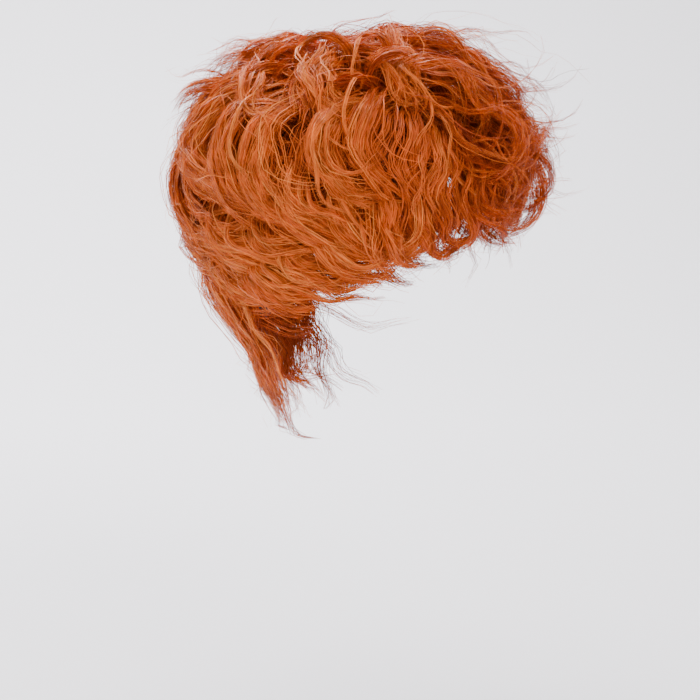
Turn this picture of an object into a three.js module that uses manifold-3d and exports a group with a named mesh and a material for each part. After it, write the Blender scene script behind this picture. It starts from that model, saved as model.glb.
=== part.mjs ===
// A short, curly costume wig in the shape that it keeps on a head: a net cap, the elastic
// band round its edge, and six sections of hair. Millimetres, +Z up, the face towards -Y.
// The origin is the inside of the cap's top, where the wig sits on the crown of the head.
import * as THREE from "three";
import { mergeVertices } from "three/addons/utils/BufferGeometryUtils.js";
import Module from "manifold-3d";

const wasm = await Module();
wasm.setup();

// Head that the cap fits, measured from its own upright axis
const headBreadth = 152;
const headFront = 92;
const headBack = 98;
const domeHeight = 95; // from the widest level up to the crown
const napeDrop = 163; // from the widest level down to the base of the neck

// Cap and its elastic edge
const capWall = 1.5;
const bandWidth = 9;
const bandWall = 1.2;
const seam = 0.4; // what two pieces that touch leave between them
const hemGap = 1; // how far the hair's hem stops short of the band's edge
const overlap = 1.5; // how far a section is first made into the ones beside it

// Hair
const hairDepth = 30; // how far the curls stand off the cap
const lockLength = 150;
const lockWidth = 24;
const lockFlatness = 0.5; // thickness as a share of width
const rootShare = 0.6; // height of a lock's root, in the matted hair, as a share of its lift

// How finely the model is drawn
const columns = 24; // round the head
const capRows = 8; // from the crown to the cap's edge
const neckRows = 3; // from there down the neck, for what the hair is kept off
const matRows = 4;
const weld = 0.1; // corners closer than this become one
const lockSteps = 24; // along a lock's path
const lockStations = 6; // sections drawn along a lock of the full length, and at least 4
const lockSides = 4;

const UP = new THREE.Vector3(0, 0, 1);
const headRadius = (headBreadth / 2 + headFront) / 2;
const radians = THREE.MathUtils.degToRad;
const smooth = (t) => THREE.MathUtils.smoothstep(t, 0, 1);

// Head sections below the widest level: drop is a share of napeDrop, and breadth,
// front and back are shares of the head's own at the widest level.
const HEAD_SECTIONS = [
  { drop: 0.0, breadth: 1.0, front: 1.0, back: 1.0 },
  { drop: 0.34, breadth: 0.95, front: 0.95, back: 0.9 },
  { drop: 0.52, breadth: 0.86, front: 0.85, back: 0.735 },
  { drop: 0.64, breadth: 0.76, front: 0.75, back: 0.59 },
  { drop: 1.0, breadth: 0.62, front: 0.56, back: 0.43 },
  { drop: 1.4, breadth: 0.6, front: 0.5, back: 0.4 },
];

// Lower edge of the cap, as the meridian angle from the crown, for each way that a
// meridian faces: 0 is the forehead, 90 an ear and 180 the nape.
const CAP_EDGE = [
  { facing: 0, angle: 66 },
  { facing: 40, angle: 72 },
  { facing: 60, angle: 88 },
  { facing: 76, angle: 110 },
  { facing: 90, angle: 101 },
  { facing: 108, angle: 101 },
  { facing: 126, angle: 122 },
  { facing: 150, angle: 141 },
  { facing: 180, angle: 145 },
];

// Value of one column of a table, read at a key between its rows
function lookUp(table, key, column, at) {
  const last = table[table.length - 1];
  const after = table.find((row) => row[key] >= at) ?? last;
  const before = table[Math.max(0, table.indexOf(after) - 1)];
  const span = after[key] - before[key];
  const share = span > 0 ? THREE.MathUtils.clamp((at - before[key]) / span, 0, 1) : 0;
  return THREE.MathUtils.lerp(before[column], after[column], share);
}

// Head's half breadth, and its depth on the side of y, at a level
function reachAt(y, z) {
  const drop = Math.max(0, (-domeHeight - z) / napeDrop);
  const half = (headBreadth / 2) * lookUp(HEAD_SECTIONS, "drop", "breadth", drop);
  const depth = y < 0
    ? headFront * lookUp(HEAD_SECTIONS, "drop", "front", drop)
    : headBack * lookUp(HEAD_SECTIONS, "drop", "back", drop);
  return { half, depth };
}

// Nearest place on the head to a point, and the way that the head faces there
function seatOf(point) {
  const { half, depth } = reachAt(point.y, point.z);
  const rise = Math.max(0, point.z + domeHeight);
  const share = new THREE.Vector3(point.x / half, point.y / depth, rise / domeHeight);
  const reach = Math.max(share.length(), 1e-6);
  const low = Math.min(point.z, -domeHeight);
  const base = new THREE.Vector3(point.x / reach, point.y / reach, low + rise / reach);
  const normal = new THREE.Vector3(share.x / half, share.y / depth, share.z / domeHeight);
  return { base, normal: normal.normalize() };
}

const heightOf = (point) => {
  const { base, normal } = seatOf(point);
  return point.clone().sub(base).dot(normal);
};

// Point over the head on a meridian: angle runs from the crown, and past 90 it goes on
// straight down at the same length for each degree.
function overHead(facing, angle, height) {
  const turn = radians(facing);
  const dip = radians(Math.min(angle, 90));
  const z = angle <= 90
    ? domeHeight * (Math.cos(dip) - 1)
    : -domeHeight - domeHeight * radians(angle - 90);
  const ahead = -Math.cos(turn) * Math.sin(dip);
  const { half, depth } = reachAt(ahead, z);
  const point = new THREE.Vector3(-half * Math.sin(turn) * Math.sin(dip), depth * ahead, z);
  return point.addScaledVector(seatOf(point.clone().addScaledVector(UP, 1e-4)).normal, height);
}

// The two angles of a point: which way its meridian faces, and how far down it lies
function anglesOf(point) {
  const { base } = seatOf(point);
  const { half, depth } = reachAt(base.y, base.z);
  const facing = THREE.MathUtils.radToDeg(Math.atan2(-base.x / half, -base.y / depth));
  const angle = base.z > -domeHeight
    ? THREE.MathUtils.radToDeg(Math.acos(base.z / domeHeight + 1))
    : 90 + THREE.MathUtils.radToDeg((-domeHeight - base.z) / domeHeight);
  return { facing, angle };
}

const capEdge = (facing) => {
  const folded = Math.abs(((facing + 540) % 360) - 180);
  return lookUp(CAP_EDGE, "facing", "angle", folded);
};
const asAngle = (length) => THREE.MathUtils.radToDeg(length / domeHeight);

// A geometry as a manifold solid, and back
function solidOf(geometry) {
  const bare = geometry.clone();
  bare.deleteAttribute("normal");
  bare.deleteAttribute("uv");
  const merged = mergeVertices(bare, 1e-4);
  return new wasm.Manifold(new wasm.Mesh({
    numProp: 3,
    vertProperties: new Float32Array(merged.attributes.position.array),
    triVerts: new Uint32Array(merged.index.array),
  }));
}

// Corners closer together than weld become one, and triangles that this closes up are left out
function geometryOf(solid) {
  const { numProp, vertProperties, triVerts } = solid.getMesh();
  const places = new Float32Array((vertProperties.length / numProp) * 3);
  for (let i = 0; i < places.length / 3; i++) {
    places.set(vertProperties.subarray(i * numProp, i * numProp + 3), i * 3);
  }
  const loose = new THREE.BufferGeometry()
    .setAttribute("position", new THREE.BufferAttribute(places, 3))
    .setIndex(new THREE.BufferAttribute(triVerts, 1));
  const geometry = mergeVertices(loose, weld);
  const kept = [];
  for (let i = 0; i < geometry.index.count; i += 3) {
    const triangle = [0, 1, 2].map((k) => geometry.index.getX(i + k));
    if (new Set(triangle).size === 3) kept.push(...triangle);
  }
  return geometry.setIndex(kept);
}

const joined = (solids) => solids.reduce((all, next) => all.add(next));

// The largest body of a solid: what a cut leaves loose beside it isn't sewn to anything
function mainBody(solid) {
  return solid.decompose().reduce((a, b) => (b.volume() > a.volume() ? b : a));
}

// The same face seen from its other side, split into triangles along the same diagonal
const flipped = (face) => [face[0], ...face.slice(1).reverse()];

// Solid from points and faces given as polygons, each turning left as seen from outside
function solidFrom(points, faces) {
  const triangles = faces.flatMap((f) => f.slice(2).flatMap((_, i) => [f[0], f[i + 1], f[i + 2]]));
  const geometry = new THREE.BufferGeometry().setFromPoints(points).setIndex(triangles);
  return solidOf(geometry);
}

// Dome over the crown between two heights, down to a lower edge that varies round the head.
// Without an inner height it is filled, and closed flat at its foot.
function dome({ edgeAt, rows, inner, outer }) {
  const points = [];
  const faces = [];
  const skins = inner === undefined ? [outer] : [outer, inner];
  const skinSize = 1 + rows * columns;
  skins.forEach((height) => {
    points.push(overHead(0, 0, height));
    for (let row = 1; row <= rows; row++) {
      for (let column = 0; column < columns; column++) {
        const facing = (360 * column) / columns;
        points.push(overHead(facing, edgeAt(facing, row / rows), height));
      }
    }
  });
  const at = (skin, row, column) => row === 0
    ? skin * skinSize
    : skin * skinSize + 1 + (row - 1) * columns + (column % columns);
  skins.forEach((_, skin) => {
    for (let column = 0; column < columns; column++) {
      const face = (list) => faces.push(skin === 0 ? list : flipped(list));
      face([at(skin, 0, 0), at(skin, 1, column + 1), at(skin, 1, column)]);
      for (let row = 1; row < rows; row++) {
        face([
          at(skin, row, column), at(skin, row, column + 1),
          at(skin, row + 1, column + 1), at(skin, row + 1, column),
        ]);
      }
    }
  });
  for (let column = 0; column < columns && skins.length === 2; column++) {
    faces.push([
      at(0, rows, column), at(0, rows, column + 1), at(1, rows, column + 1), at(1, rows, column),
    ]);
  }
  if (skins.length === 1) {
    faces.push(Array.from({ length: columns }, (_, column) => at(0, rows, column)));
  }
  return solidFrom(points, faces);
}

// Patch over the head between two meridians and two edges; heights may vary down the patch.
// Over a full turn it closes into a ring.
function patch({ from, to, top, bottom, rows, inner, outer }) {
  const steps = Math.max(2, Math.round(((to - from) * columns) / 360));
  const round = to - from >= 360;
  const across = round ? steps : steps + 1;
  const points = [];
  const faces = [];
  for (const height of [outer, inner]) {
    for (let row = 0; row <= rows; row++) {
      for (let column = 0; column < across; column++) {
        const facing = from + ((to - from) * column) / steps;
        const angle = THREE.MathUtils.lerp(top(facing), bottom(facing), row / rows);
        points.push(overHead(facing, angle, height(row / rows, facing)));
      }
    }
  }
  const at = (skin, row, column) => skin * (rows + 1) * across + row * across + (column % across);
  for (let column = 0; column < steps; column++) {
    for (let row = 0; row < rows; row++) {
      const corners = [[row, column], [row, column + 1], [row + 1, column + 1], [row + 1, column]];
      faces.push(corners.map(([r, c]) => at(0, r, c)));
      faces.push(flipped(corners.map(([r, c]) => at(1, r, c))));
    }
    faces.push([at(1, 0, column), at(1, 0, column + 1), at(0, 0, column + 1), at(0, 0, column)]);
    faces.push([
      at(0, rows, column), at(0, rows, column + 1), at(1, rows, column + 1), at(1, rows, column),
    ]);
  }
  for (let row = 0; row < rows && !round; row++) {
    faces.push([at(0, row, 0), at(0, row + 1, 0), at(1, row + 1, 0), at(1, row, 0)]);
    faces.push([
      at(1, row, steps), at(1, row + 1, steps), at(0, row + 1, steps), at(0, row, steps),
    ]);
  }
  return solidFrom(points, faces);
}

// Same small variation each time for the same seed, from -1 to 1
const vary = (seed) => {
  const wave = Math.sin(seed * 12.9898) * 43758.5453;
  return 2 * (wave - Math.floor(wave)) - 1;
};

// Path of a lock that lies over the head. It starts at a place and in a direction, turns by
// bend over its first half and by curl over its second, and keeps to a height that rises
// from the root to lift and ends at tip.
function combedPath({ start, ahead, bend, curl, length, lift, tip }) {
  const step = (length * lockLength) / lockSteps;
  const root = rootShare * lift * hairDepth;
  const direction = ahead.clone();
  const foot = start.clone();
  const points = [];
  const flats = [];
  for (let i = 0; i <= lockSteps; i++) {
    const t = i / lockSteps;
    const height = root + (lift * hairDepth - root) * smooth(t / 0.3)
      + (tip - lift) * hairDepth * smooth((t - 0.45) / 0.55);
    const { base, normal } = seatOf(foot);
    direction.addScaledVector(normal, -direction.dot(normal)).normalize();
    points.push(base.clone().addScaledVector(normal, height));
    flats.push(normal);
    direction.applyAxisAngle(normal, radians((t < 0.5 ? bend : curl) * 2) / lockSteps);
    foot.copy(base).addScaledVector(direction, (step * headRadius) / (headRadius + height));
  }
  return { points, flats };
}

// Path of a lock that stands off the head and curls in an upright plane, which fan turns
// outwards. It never comes closer to the head than low.
function standingPath({ start, fan, heading, bend, curl, length, low }) {
  const step = (length * lockLength) / lockSteps;
  const ahead = new THREE.Vector3(-Math.sin(radians(fan)), -Math.cos(radians(fan)), 0);
  const axis = ahead.clone().cross(UP);
  const direction = ahead.applyAxisAngle(axis, radians(heading));
  const { base, normal } = seatOf(start);
  const place = base.addScaledVector(normal, rootShare * low * hairDepth);
  const points = [];
  const flats = [];
  for (let i = 0; i <= lockSteps; i++) {
    const t = i / lockSteps;
    points.push(place.clone());
    flats.push(direction.clone().cross(axis));
    direction.applyAxisAngle(axis, radians((t < 0.5 ? bend : curl) * 2) / lockSteps);
    place.addScaledVector(direction, step);
    const least = THREE.MathUtils.lerp(rootShare, 1, smooth(t / 0.25)) * low * hairDepth;
    const short = least - heightOf(place);
    place.addScaledVector(seatOf(place).normal, Math.max(0, short));
  }
  return { points, flats };
}

// Place on the head's right side, seen from that side: ahead and up are shares of the
// head's half length and of its dome height, from the crown.
function onRightSide(ahead, up) {
  const y = (-ahead * (headFront + headBack)) / 2;
  const z = up * domeHeight;
  const { half, depth } = reachAt(y, z);
  const rise = Math.max(0, z + domeHeight) / domeHeight;
  const left = 1 - (y / depth) ** 2 - rise ** 2;
  return new THREE.Vector3(-half * Math.sqrt(Math.max(4e-4, left)), y, z);
}

// In every table of locks: heading, bend and curl are degrees, with heading measured from
// straight ahead towards up and left turns positive; length, width, lift, tip and low are
// shares of lockLength, lockWidth and hairDepth. A row is one lock.
const asRows = (names, rows) => rows.map(
  (row) => Object.fromEntries(names.split(" ").map((name, i) => [name, row[i]])),
);

// Combed locks of the right side, as seen from that side
const SIDE_LOCKS = asRows("ahead up heading bend curl length width lift tip", [
  [0.18, -0.3, 205, 85, 90, 0.8, 1.15, 1.0, 0.9],
  [-0.12, -0.26, 215, 60, 95, 0.96, 1.05, 0.98, 0.85],
  [-0.4, -0.24, 222, 55, 75, 0.9, 1.05, 0.96, 0.82],
  [-0.62, -0.24, 220, 60, 55, 0.89, 1.1, 0.96, 0.78],
  [-0.9, -0.28, 205, 85, 25, 0.96, 1.15, 1.0, 0.75],
  [0.38, -0.26, 225, 60, 60, 0.75, 1.0, 1.1, 0.87],
  [0.53, -0.3, 235, 45, 60, 0.75, 0.85, 1.05, 0.6],
  [-0.94, -0.6, 240, 70, 70, 1.1, 1.1, 0.92, 0.6],
  [-1.02, -0.75, 245, 65, 75, 1.12, 1.15, 0.87, 0.5],
  [-0.73, -0.85, 240, 80, 65, 0.82, 1.0, 0.85, 0.5],
  [-0.46, -1.0, 270, 70, 60, 0.54, 0.9, 0.75, 0.45],
  [-0.8, -1.17, 265, 55, 55, 0.66, 1.1, 0.75, 0.4],
  [0.12, -0.75, 262, 50, 60, 0.55, 0.9, 0.78, 0.5],
  [0.42, -0.1, 200, 110, 80, 0.6, 1.0, 1.1, 1.0],
  [-0.34, -0.12, 210, 90, 60, 0.62, 1.0, 1.05, 0.95],
  [-0.3, -1.13, 275, 55, 50, 0.58, 0.95, 0.75, 0.45],
  [0.0, -1.04, 275, 55, 60, 0.5, 0.9, 0.75, 0.45],
  [-0.45, -1.25, 275, 50, 50, 0.5, 1.0, 0.8, 0.45],
]);

// Combed locks of the temple, which fall in front of the ear
const TEMPLE_LOCKS = asRows("ahead up heading bend curl length width lift tip", [
  [0.62, -0.36, 250, 5, 60, 0.82, 0.8, 1.0, 0.6],
  [0.77, -0.48, 245, 10, 45, 0.74, 0.85, 1.0, 0.6],
  [0.84, -0.5, 258, 10, 75, 0.62, 0.9, 1.1, 0.6],
  [0.9, -0.56, 265, 15, -20, 0.55, 0.9, 1.1, 0.7],
  [0.36, -0.85, 268, 15, 60, 0.46, 0.7, 0.9, 0.6],
]);

// Standing locks over the brow and the crown: out is the distance from the middle of the
// head towards the right, as a share of half its breadth.
const STANDING_LOCKS = asRows("out ahead up fan heading bend curl length width low", [
  [0.12, 0.26, -0.05, 0, 64, -80, -60, 0.8, 1.1, 0.75],
  [-0.1, 0.62, -0.11, 0, 72, -110, -50, 0.74, 1.1, 0.75],
  [0.25, 0.7, -0.21, 5, 45, -110, 90, 0.68, 1.2, 0.8],
  [0.15, 0.7, -0.3, 5, 35, -75, -120, 0.75, 1.1, 0.75],
  [0.66, 0.82, -0.37, 18, 10, -90, 80, 0.64, 1.1, 0.6],
  [0.6, -0.42, -0.19, 0, 140, -160, -180, 0.63, 0.6, 0.9],
  [0.66, 0.42, -0.2, 0, 130, 110, 130, 0.63, 0.7, 0.95],
  [0.13, 0.02, 0, 0, 56, -75, -50, 0.8, 1.1, 0.75],
  [0.46, 0.26, -0.13, 5, 48, -70, -90, 0.82, 1.1, 0.9],
  [0.6, 0.42, -0.21, 12, 40, -110, 60, 0.74, 1.2, 0.95],
  [0.26, -0.26, -0.05, 0, 155, 30, 20, 0.56, 1.1, 0.85],
  [0.4, -0.58, -0.16, 0, 175, 10, 30, 0.5, 1.1, 0.85],
  [0.3, 0.85, -0.42, 8, 20, -60, -150, 0.76, 1.2, 0.7],
]);

// Brow locks that hang across the forehead, from the middle towards the right
const BROW_LOCKS = asRows("out ahead up fan heading bend curl length width low", [
  [0.0, 0.86, -0.36, 0, 30, -120, 60, 0.66, 1.3, 0.7],
  [-0.28, 0.84, -0.34, -8, 40, -130, -40, 0.64, 1.2, 0.7],
]);

// Combed locks of the back, the crown and the nape: facing and angle place the root, and heading is
// measured from straight down towards the wearer's right.
const BACK_LOCKS = asRows("facing angle heading bend curl length width lift tip", [
  [150, 42, 20, -60, 70, 0.75, 1.2, 1.1, 1.2],
  [172, 40, -25, 70, -90, 0.75, 1.2, 1.1, 1.0],
  [196, 43, 25, -70, 80, 0.75, 1.2, 1.1, 1.1],
  [162, 66, -25, 80, -90, 0.72, 1.1, 1.1, 0.85],
  [186, 64, 30, -80, 90, 0.72, 1.1, 1.1, 0.8],
  [210, 66, -25, 70, -90, 0.72, 1.1, 1.05, 0.9],
  [176, 86, -20, 60, -80, 0.66, 1.0, 0.85, 0.55],
  [198, 86, 25, -60, 80, 0.66, 1.0, 0.85, 0.55],
]);
const CROWN_LOCKS = asRows("facing angle heading bend curl length width lift tip", [
  [165, 9, 35, -60, 70, 0.6, 1.1, 1.05, 1.05],
  [215, 14, -30, 60, -70, 0.6, 1.1, 1.05, 1.05],
  [105, 15, 40, -50, 60, 0.5, 1.0, 1.0, 1.0],
  [258, 17, -40, 50, -60, 0.5, 1.0, 1.0, 1.0],
]);
const NAPE_LOCKS = asRows("facing angle heading bend curl length width lift tip", [
  [178, 98, 5, -30, 60, 1.12, 1.2, 0.7, 0.35],
  [160, 100, 12, 5, -50, 1.1, 1.2, 0.7, 0.4],
  [146, 106, 20, -22, -10, 1.0, 1.2, 0.6, 0.4],
  [166, 118, 24, -30, 60, 0.95, 1.1, 0.6, 0.45],
  [148, 118, 24, -30, -60, 0.85, 1.1, 0.6, 0.5],
]);

const sideLock = (row) => ({
  ...row,
  path: combedPath({
    ...row,
    start: onRightSide(row.ahead, row.up),
    ahead: new THREE.Vector3(0, -Math.cos(radians(row.heading)), Math.sin(radians(row.heading))),
  }),
});

const standingLock = (row) => {
  const start = onRightSide(row.ahead, row.up);
  start.x = (-row.out * headBreadth) / 2;
  return { ...row, path: standingPath({ ...row, start }) };
};

const backLock = (row) => {
  const start = overHead(row.facing, row.angle, 0);
  const down = overHead(row.facing, row.angle + 1, 0).sub(start).normalize();
  const ahead = down.applyAxisAngle(seatOf(start).normal, radians(row.heading));
  return { ...row, path: combedPath({ ...row, start, ahead }) };
};

// The same rows on the wearer's left, a little different lock by lock. Only the columns that
// a table has are read from it later.
const varied = (rows, seed) => rows.map((row, i) => ({
  ...row,
  ahead: row.ahead + 0.03 * vary(seed + i + 0.75),
  facing: row.facing + 2 * vary(seed + i + 0.8),
  bend: row.bend * (1 + 0.2 * vary(seed + i)),
  curl: row.curl * (1 + 0.2 * vary(seed + i + 0.5)),
  length: row.length * (1 + 0.1 * vary(seed + i + 0.25)),
}));

const mirrored = (lock) => {
  const flip = (v) => new THREE.Vector3(-v.x, v.y, v.z);
  return { ...lock, path: { points: lock.path.points.map(flip), flats: lock.path.flats.map(flip) } };
};

const bothSides = (rows, make, seed) => [
  ...rows.map(make),
  ...varied(rows, seed).map(make).map(mirrored),
];

// Width along a lock: narrow at the root, full before the middle, drawn in at the tip
const swell = (t) => (0.65 + 0.35 * smooth(t / 0.35)) * (1 - 0.75 * smooth((t - 0.5) / 0.5));

// Solid of one lock, with its four long faces let out by a margin
function lockSolid({ path, width, length }, margin) {
  const stations = Math.max(4, Math.round(length * lockStations));
  const slant = Math.hypot(1, lockFlatness);
  const points = [];
  const faces = [];
  for (let station = 0; station < stations; station++) {
    const t = station / (stations - 1);
    const i = Math.round(t * lockSteps);
    const centre = path.points[i].clone();
    const along = path.points[Math.min(i + 1, lockSteps)].clone()
      .sub(path.points[Math.max(i - 1, 0)]).normalize();
    if (station === 0 || station === stations - 1) {
      centre.addScaledVector(along, station === 0 ? -margin : margin);
    }
    const flat = path.flats[i].clone().addScaledVector(along, -path.flats[i].dot(along)).normalize();
    const side = flat.clone().cross(along);
    const half = (width * lockWidth * swell(t)) / 2;
    for (let k = 0; k < lockSides; k++) {
      const turn = (2 * Math.PI * k) / lockSides;
      points.push(centre.clone()
        .addScaledVector(side, (half + (margin * slant) / lockFlatness) * Math.cos(turn))
        .addScaledVector(flat, (half * lockFlatness + margin * slant) * Math.sin(turn)));
    }
  }
  const at = (station, k) => station * lockSides + (k % lockSides);
  const ring = (station) => Array.from({ length: lockSides }, (_, k) => at(station, k));
  faces.push(ring(0).reverse(), ring(stations - 1));
  for (let station = 0; station < stations - 1; station++) {
    for (let k = 0; k < lockSides; k++) {
      faces.push([at(station, k), at(station, k + 1), at(station + 1, k + 1), at(station + 1, k)]);
    }
  }
  return solidFrom(points, faces);
}

// Sections of hair, each sewn over its own part of the cap. The first has the right of way:
// each later one is cut back from those before it.
const crownAngle = 35;
const templeFacing = 55;
const backFacing = 140;
const napeAngle = 94;
const hemLine = (facing) => capEdge(facing) - asAngle(hemGap);

// Upright depth of each section's matted hair at its top, halfway down and at its hem, as
// shares of hairDepth, and the meridians that it runs between.
const SECTIONS = [
  { name: "fringe_hair", from: -templeFacing, to: templeFacing, depths: [0.85, 1.15, 0.8] },
  { name: "crown_hair", depths: [0.85] },
  { name: "right_side_hair", from: templeFacing, to: backFacing, depths: [0.85, 0.8, 0.3] },
  { name: "left_side_hair", from: -backFacing, to: -templeFacing, depths: [0.85, 0.8, 0.3] },
  { name: "back_hair", from: backFacing, to: 360 - backFacing, depths: [0.85, 1, 0.65] },
  { name: "nape_hair", from: backFacing, to: 360 - backFacing, depths: [0.6, 0.45, 0.2] },
];

// Name of the section that a lock's root is sewn to
function sectionOf(lock) {
  const { facing, angle } = anglesOf(lock.path.points[0]);
  if (angle < crownAngle) return "crown_hair";
  if (Math.abs(facing) > backFacing) return angle < napeAngle ? "back_hair" : "nape_hair";
  if (Math.abs(facing) < templeFacing) return "fringe_hair";
  return facing > 0 ? "right_side_hair" : "left_side_hair";
}

const LOCKS = [
  ...bothSides(SIDE_LOCKS, sideLock, 3),
  ...bothSides(TEMPLE_LOCKS, sideLock, 31),
  ...bothSides(STANDING_LOCKS, standingLock, 57),
  ...BROW_LOCKS.map(standingLock),
  ...[...BACK_LOCKS, ...CROWN_LOCKS].map(backLock),
  ...bothSides(NAPE_LOCKS.slice(1), backLock, 83),
  ...NAPE_LOCKS.slice(0, 1).map(backLock),
];

// Matted hair of a section, let out by a margin. It runs from inside the cap, and overlaps
// the sections beside it, so that the cuts made later give it its inner side and its seams.
function matSolid({ name, from, to, depths }, margin) {
  const reach = asAngle(overlap + margin);
  if (name === "crown_hair") {
    return dome({
      edgeAt: (_, share) => share * (crownAngle + reach),
      rows: matRows,
      inner: 0,
      outer: capWall + depths[0] * hairDepth + margin,
    });
  }
  const top = name === "nape_hair" ? napeAngle : crownAngle;
  const [upper, middle, hem] = depths;
  return patch({
    from: from - reach,
    to: to + reach,
    top: () => top - reach,
    bottom: (facing) => (name === "back_hair" ? napeAngle : hemLine(facing)) + asAngle(margin),
    rows: matRows,
    inner: () => 0,
    outer: (share) => {
      const above = THREE.MathUtils.lerp(upper, middle, smooth(share * 2));
      return capWall + margin
        + hairDepth * THREE.MathUtils.lerp(above, hem, smooth(share * 2 - 1));
    },
  });
}

// Head and cap filled in, which the hair is kept clear of
const bandTop = (facing) => capEdge(facing) - asAngle(bandWidth);
const capGrid = (facing, share) => {
  const row = share * capRows;
  const band = Math.max(0, row - capRows + 1);
  const net = Math.min(1, row / (capRows - 1));
  return net * bandTop(facing) + band * (capEdge(facing) - bandTop(facing));
};
const headAndCap = dome({
  edgeAt: (facing, share) => {
    const row = share * (capRows + neckRows);
    const floor = 90 + asAngle(napeDrop * 1.3);
    return row <= capRows
      ? capGrid(facing, row / capRows)
      : THREE.MathUtils.lerp(capEdge(facing), floor, (row - capRows) / neckRows);
  },
  rows: capRows + neckRows,
  outer: capWall + seam,
});

const bandPatch = (margin) => patch({
  from: 0,
  to: 360,
  top: (facing) => bandTop(facing) - asAngle(margin),
  bottom: (facing) => capEdge(facing) + asAngle(margin),
  rows: 1,
  inner: () => capWall + seam - margin,
  outer: () => capWall + seam + bandWall + margin,
});

const hairColour = 0xb9541f;
const netColour = 0x1d1512;
const part = new THREE.Group();

function addPiece(name, solid, colour, roughness) {
  const material = new THREE.MeshStandardMaterial({ color: colour, roughness, metalness: 0 });
  const mesh = new THREE.Mesh(geometryOf(solid), material);
  mesh.name = name;
  part.add(mesh);
}

addPiece("cap_net", dome({ edgeAt: capGrid, rows: capRows, inner: 0, outer: capWall }), netColour, 0.9);
addPiece("edge_band", bandPatch(0), netColour, 0.8);

let keepClear = headAndCap.add(bandPatch(seam));
for (const section of SECTIONS) {
  const locks = LOCKS.filter((lock) => sectionOf(lock) === section.name);
  const build = (margin) => joined([
    matSolid(section, margin),
    ...locks.map((lock) => lockSolid(lock, margin)),
  ]);
  addPiece(section.name, mainBody(build(0).subtract(keepClear)), hairColour, 0.55);
  keepClear = keepClear.add(build(seam));
}

export default part;
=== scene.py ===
# %% [markdown]
# # A short, curly costume wig
# The wig is an open net cap with an elastic edge, covered in curled synthetic fibre. The
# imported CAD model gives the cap's place and size; this script dresses it. The first cell
# loads that model and keeps its box, since nothing here may make the wig bigger.

# %% Load the frame
import math
import random

import bpy
import numpy as np
from mathutils import Matrix, Vector


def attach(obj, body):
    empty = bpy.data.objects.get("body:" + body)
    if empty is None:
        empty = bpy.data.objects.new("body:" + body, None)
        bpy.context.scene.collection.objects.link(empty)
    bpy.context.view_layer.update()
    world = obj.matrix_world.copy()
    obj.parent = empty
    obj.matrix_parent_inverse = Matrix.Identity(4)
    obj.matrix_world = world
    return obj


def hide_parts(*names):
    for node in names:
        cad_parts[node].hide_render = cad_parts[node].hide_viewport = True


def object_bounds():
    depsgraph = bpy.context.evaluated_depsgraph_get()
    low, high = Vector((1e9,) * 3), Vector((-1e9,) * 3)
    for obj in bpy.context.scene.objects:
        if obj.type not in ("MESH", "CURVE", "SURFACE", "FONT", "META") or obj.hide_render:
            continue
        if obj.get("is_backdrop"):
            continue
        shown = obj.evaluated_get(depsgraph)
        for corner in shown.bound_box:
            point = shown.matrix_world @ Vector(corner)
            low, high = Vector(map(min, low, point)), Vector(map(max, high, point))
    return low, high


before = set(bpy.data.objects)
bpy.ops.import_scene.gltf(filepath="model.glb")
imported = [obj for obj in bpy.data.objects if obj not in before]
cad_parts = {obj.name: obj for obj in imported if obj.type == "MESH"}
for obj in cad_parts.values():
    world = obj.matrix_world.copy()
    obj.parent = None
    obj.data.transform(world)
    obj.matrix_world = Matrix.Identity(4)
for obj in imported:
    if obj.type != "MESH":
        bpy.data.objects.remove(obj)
cad_low, cad_high = (np.array(corner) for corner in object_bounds())
print("CAD box, mm:", (cad_low * 1000).round(1), (cad_high * 1000).round(1))

# %% [markdown]
# ## The head form
# A wig's shape is the shape of the head under it, pushed outwards by the depth of the hair.
# So every lock here is laid over a head form of a few named sizes. The form is a dome above
# the widest level and a tapering neck below it. Two functions are enough: one finds the
# nearest place on the head to a point, the other goes from two angles to a point.

# %% Head sizes and sections
HEAD_BREADTH = 152.0
HEAD_FRONT = 92.0
HEAD_BACK = 98.0
DOME_HEIGHT = 95.0
NAPE_DROP = 163.0
CAP_WALL = 1.5
HAIR_DEPTH = 30.0
LOCK_LENGTH = 150.0
LOCK_WIDTH = 24.0
MM = 0.001


def rows(names, *lines):
    """A table with named columns: one dict for each line."""
    return [dict(zip(names.split(), line)) for line in lines]


# drop is a share of NAPE_DROP, the others are shares of the head at its widest level
HEAD_SECTIONS = rows(
    "drop breadth front back",
    (0.0, 1.0, 1.0, 1.0),
    (0.34, 0.95, 0.95, 0.9),
    (0.52, 0.86, 0.85, 0.735),
    (0.64, 0.76, 0.75, 0.59),
    (1.0, 0.62, 0.56, 0.43),
    (1.4, 0.6, 0.5, 0.4),
)
# The cap's lower edge: facing 0 is the forehead, 90 an ear and 180 the nape, and angle is
# measured down the meridian from the crown
CAP_EDGE = rows(
    "facing angle",
    (0, 66), (40, 72), (60, 88), (76, 110), (90, 101),
    (108, 101), (126, 122), (150, 141), (180, 145),
)


def look_up(table, key, column, at):
    return float(np.interp(at, [r[key] for r in table], [r[column] for r in table]))


def smooth(t):
    t = min(1.0, max(0.0, t))
    return t * t * (3 - 2 * t)


def reach_at(y, z):
    """The head's half breadth, and its depth on the side of y, at a level."""
    drop = max(0.0, (-DOME_HEIGHT - z) / NAPE_DROP)
    half = HEAD_BREADTH / 2 * look_up(HEAD_SECTIONS, "drop", "breadth", drop)
    if y < 0:
        return half, HEAD_FRONT * look_up(HEAD_SECTIONS, "drop", "front", drop)
    return half, HEAD_BACK * look_up(HEAD_SECTIONS, "drop", "back", drop)


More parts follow.
